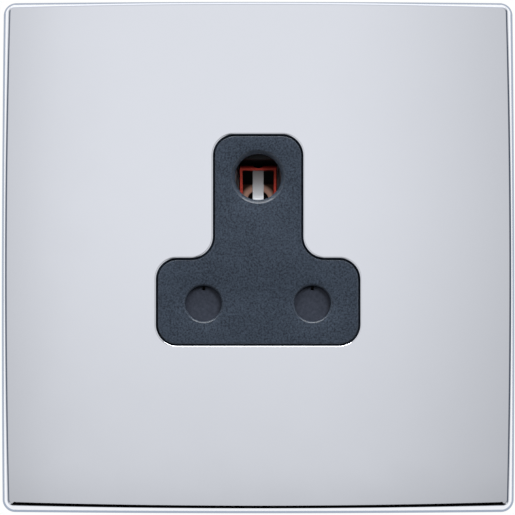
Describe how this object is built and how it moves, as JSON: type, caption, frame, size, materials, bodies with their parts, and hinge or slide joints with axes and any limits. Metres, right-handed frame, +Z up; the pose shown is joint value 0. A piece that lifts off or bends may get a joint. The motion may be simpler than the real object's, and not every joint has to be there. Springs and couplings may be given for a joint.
{
  "type": "round pin wall socket",
  "caption": "Screwless square wall socket for a round-pin earthed plug: domed chrome plate, dark tee-shaped insert, and a sprung shutter that the longer earth pin opens.",
  "frame": {"origin": "midway between the two box fixing slots, on the wall plane at the back of the grid", "axes": "+X to the right and +Z up as the user sees the socket, -Y out of the wall towards the user"},
  "size_m": [0.09, 0.0289, 0.09],
  "materials": {
    "polished_chrome": "polished chrome plating on a pressed sheet",
    "black_moulding": "moulded, matt",
    "zinc_plated_steel": "bright zinc plating",
    "slate_moulding": "fine moulded grain, satin",
    "grey_moulding": "moulded thermoset, matt",
    "charcoal_moulding": "moulded, satin",
    "red_moulding": "moulded, semi-gloss",
    "plated_strip": "bright nickel plating",
    "spring_steel": "drawn wire",
    "tinned_bronze": "tinned strip, satin",
    "brass": "sawn and drilled brass, satin",
    "brass_screw": "turned brass",
    "zinc_screw": "bright zinc plating"
  },
  "bodies": {
    "socket": {"front_plate": "polished_chrome", "plate_clip_frame": "black_moulding", "mounting_grid": "zinc_plated_steel", "socket_front": "slate_moulding", "shutter_deck": "black_moulding", "rear_housing": "grey_moulding", "shutter_spring": "spring_steel", "live_contact": "tinned_bronze", "neutral_contact": "tinned_bronze", "earth_contact": "tinned_bronze", "live_terminal": "brass", "neutral_terminal": "brass", "earth_terminal": "brass", "line_terminal_screws": "brass_screw", "earth_terminal_screw": "brass_screw", "module_screws": "zinc_screw", "earth_strap": "brass", "strap_rivet": "brass_screw"},
    "shutter": {"shutter": "charcoal_moulding", "shutter_cam": "red_moulding", "cam_wear_plate": "plated_strip"}
  },
  "joints": [
    {"name": "shutter_slide", "type": "slide", "parent": "socket", "child": "shutter", "axis": [0, 0, -1], "range_m": [0, 0.007], "stiffness_N_per_m": 20, "springref_m": -0.01, "deforming": ["shutter_spring"]}
  ]
}
